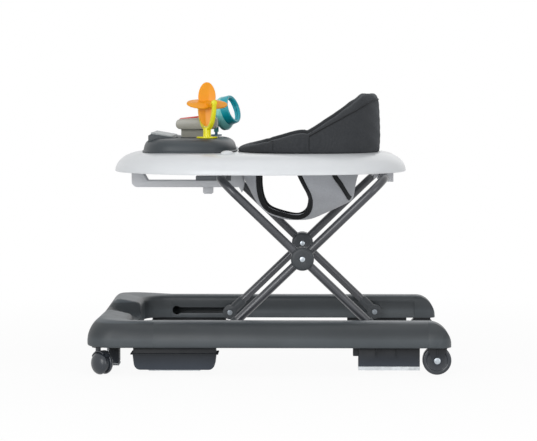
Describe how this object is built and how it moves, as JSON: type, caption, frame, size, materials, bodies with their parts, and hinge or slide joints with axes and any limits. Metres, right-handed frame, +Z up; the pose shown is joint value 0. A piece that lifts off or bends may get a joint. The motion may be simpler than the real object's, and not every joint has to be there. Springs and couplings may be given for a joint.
{
  "type": "baby walker",
  "caption": "Folding baby walker: wheeled U-shaped base, scissor frame, white ring tray with fabric bucket seat and a play tray with spinner, mirror and keys.",
  "frame": {"origin": "on the floor at the centre of the base", "axes": "+X towards the rear, -Y the walker's left side, +Z up"},
  "size_m": [0.686, 0.6, 0.548],
  "materials": {
    "base_plastic": "fine moulded satin texture",
    "stopper_plastic": "matte moulded plastic",
    "stopper_rubber": "matte rubber",
    "wheel_plastic": "satin moulded plastic",
    "steel": "zinc plated steel",
    "tube_paint": "satin powder coat",
    "joint_plastic": "satin moulded plastic",
    "tray_white": "semi-gloss moulded plastic",
    "adjuster_grey": "matte moulded plastic",
    "carriage_grey": "matte moulded plastic",
    "seat_fabric": "woven polyester over wadding",
    "bucket_fabric": "woven polyester",
    "toy_grey": "satin moulded plastic",
    "key_plastic": "moulded plastic",
    "unit_silver": "satin silver plastic",
    "drum_red": "moulded plastic",
    "fork_yellow": "moulded plastic",
    "star_orange": "moulded plastic",
    "stand_blue": "moulded plastic",
    "shell_teal": "moulded plastic",
    "ring_teal": "moulded plastic",
    "mirror_glass": "mirror film"
  },
  "bodies": {
    "base": {"front_bumper": "base_plastic", "rail_left": "base_plastic", "rail_right": "base_plastic", "rear_cap_left": "base_plastic", "rear_cap_right": "base_plastic", "front_stopper_left": "stopper_plastic", "front_stopper_right": "stopper_plastic", "side_stopper_left": "stopper_plastic", "side_stopper_right": "stopper_plastic", "rear_stopper_left": "stopper_plastic", "rear_stopper_right": "stopper_plastic", "stopper_rubbers": "stopper_rubber", "caster_sockets": "stopper_plastic", "rear_fork_left": "stopper_plastic", "rear_fork_right": "stopper_plastic", "rear_axles": "steel"},
    "caster_left": {"caster_fork_left": "wheel_plastic"},
    "caster_right": {"caster_fork_right": "wheel_plastic"},
    "caster_wheels_left": {"caster_wheels_left": "wheel_plastic"},
    "caster_wheels_right": {"caster_wheels_right": "wheel_plastic"},
    "rear_wheel_left": {"rear_wheel_left": "wheel_plastic"},
    "rear_wheel_right": {"rear_wheel_right": "wheel_plastic"},
    "frame_a": {"frame_a_tube": "tube_paint", "pivot_boot_left": "joint_plastic", "pivot_boot_right": "joint_plastic", "pivot_pins": "steel", "hub_cover_outer_left": "joint_plastic", "hub_cover_outer_right": "joint_plastic", "hub_bolts": "steel"},
    "frame_b": {"frame_b_tube": "tube_paint", "slider_boot_left": "joint_plastic", "slider_boot_right": "joint_plastic", "slider_pins": "steel", "hub_cover_inner_left": "joint_plastic", "hub_cover_inner_right": "joint_plastic"},
    "carriage": {"carriage": "carriage_grey", "release_spring": "steel"},
    "release_button": {"release_button": "adjuster_grey"},
    "tray": {"tray_shell": "tray_white", "tray_catches": "tray_white", "adjuster_guide": "adjuster_grey", "rear_clamp_left": "adjuster_grey", "rear_clamp_right": "adjuster_grey", "seat_pad": "seat_fabric", "seat_sling": "bucket_fabric", "toy_tray": "toy_grey", "key_bed": "toy_grey", "music_unit": "unit_silver", "propeller_fork": "fork_yellow", "propeller_axle": "steel", "mirror_stand": "stand_blue"},
    "key_1": {"key_1": "key_plastic"},
    "key_2": {"key_2": "key_plastic"},
    "key_3": {"key_3": "key_plastic"},
    "key_4": {"key_4": "key_plastic"},
    "drum_pad": {"drum_pad": "drum_red"},
    "propeller": {"propeller": "star_orange"},
    "mirror": {"mirror_shell": "shell_teal", "mirror_ring": "ring_teal", "mirror_glass": "mirror_glass"}
  },
  "joints": [
    {"name": "fold", "type": "hinge", "parent": "base", "child": "frame_a", "pos_m": [0.2146, 0, 0.0674], "axis": [0, -1, 0], "range_deg": [0, 36.4]},
    {"name": "scissor", "type": "hinge", "parent": "frame_a", "child": "frame_b", "pos_m": [0.06328, 0, 0.21301], "axis": [0, -1, 0], "range_deg": [-72.8, 0]},
    {"name": "tray_tilt", "type": "hinge", "parent": "frame_b", "child": "tray", "pos_m": [0.22036, 0, 0.36418], "axis": [0, -1, 0], "range_deg": [0, 36.4]},
    {"name": "carriage_turn", "type": "hinge", "parent": "frame_a", "child": "carriage", "pos_m": [-0.0938, 0, 0.36418], "axis": [0, -1, 0], "range_deg": [-36.4, 0]},
    {"name": "release_press", "type": "slide", "parent": "carriage", "child": "release_button", "axis": [0, 0, 1], "range_m": [0, 0.004], "stiffness_N_per_m": 400, "deforming": ["release_spring"]},
    {"name": "caster_swivel_left", "type": "hinge", "parent": "base", "child": "caster_left", "pos_m": [-0.321, -0.27, 0.06], "axis": [0, 0, 1], "continuous": true},
    {"name": "caster_roll_left", "type": "hinge", "parent": "caster_left", "child": "caster_wheels_left", "pos_m": [-0.31322, -0.27778, 0.021], "axis": [0.7071, 0.7071, 0], "continuous": true},
    {"name": "caster_swivel_right", "type": "hinge", "parent": "base", "child": "caster_right", "pos_m": [-0.321, 0.27, 0.06], "axis": [0, 0, 1], "continuous": true},
    {"name": "caster_roll_right", "type": "hinge", "parent": "caster_right", "child": "caster_wheels_right", "pos_m": [-0.31322, 0.27778, 0.021], "axis": [0.7071, -0.7071, 0], "continuous": true},
    {"name": "rear_roll_left", "type": "hinge", "parent": "base", "child": "rear_wheel_left", "pos_m": [0.316, -0.2675, 0.027], "axis": [0, 1, 0], "continuous": true},
    {"name": "rear_roll_right", "type": "hinge", "parent": "base", "child": "rear_wheel_right", "pos_m": [0.316, 0.2675, 0.027], "axis": [0, 1, 0], "continuous": true},
    {"name": "key_press_1", "type": "slide", "parent": "tray", "child": "key_1", "axis": [0, 0, -1], "range_m": [0, 0.003], "stiffness_N_per_m": 300},
    {"name": "key_press_2", "type": "slide", "parent": "tray", "child": "key_2", "axis": [0, 0, -1], "range_m": [0, 0.003], "stiffness_N_per_m": 300},
    {"name": "key_press_3", "type": "slide", "parent": "tray", "child": "key_3", "axis": [0, 0, -1], "range_m": [0, 0.003], "stiffness_N_per_m": 300},
    {"name": "key_press_4", "type": "slide", "parent": "tray", "child": "key_4", "axis": [0, 0, -1], "range_m": [0, 0.003], "stiffness_N_per_m": 300},
    {"name": "drum_press", "type": "slide", "parent": "tray", "child": "drum_pad", "axis": [0, 0, -1], "range_m": [0, 0.003], "stiffness_N_per_m": 300},
    {"name": "propeller_spin", "type": "hinge", "parent": "tray", "child": "propeller", "pos_m": [-0.1231, -0.09, 0.50498], "axis": [0.4695, -0.8829, 0], "continuous": true},
    {"name": "mirror_turn", "type": "hinge", "parent": "tray", "child": "mirror", "pos_m": [-0.1121, 0.09, 0.44898], "axis": [0, 0, 1], "range_deg": [-12, 45]}
  ],
  "couplings": [
    {"joint": "scissor", "follows": "fold", "ratio": -2},
    {"joint": "tray_tilt", "follows": "fold", "ratio": 1},
    {"joint": "carriage_turn", "follows": "fold", "ratio": -1}
  ]
}
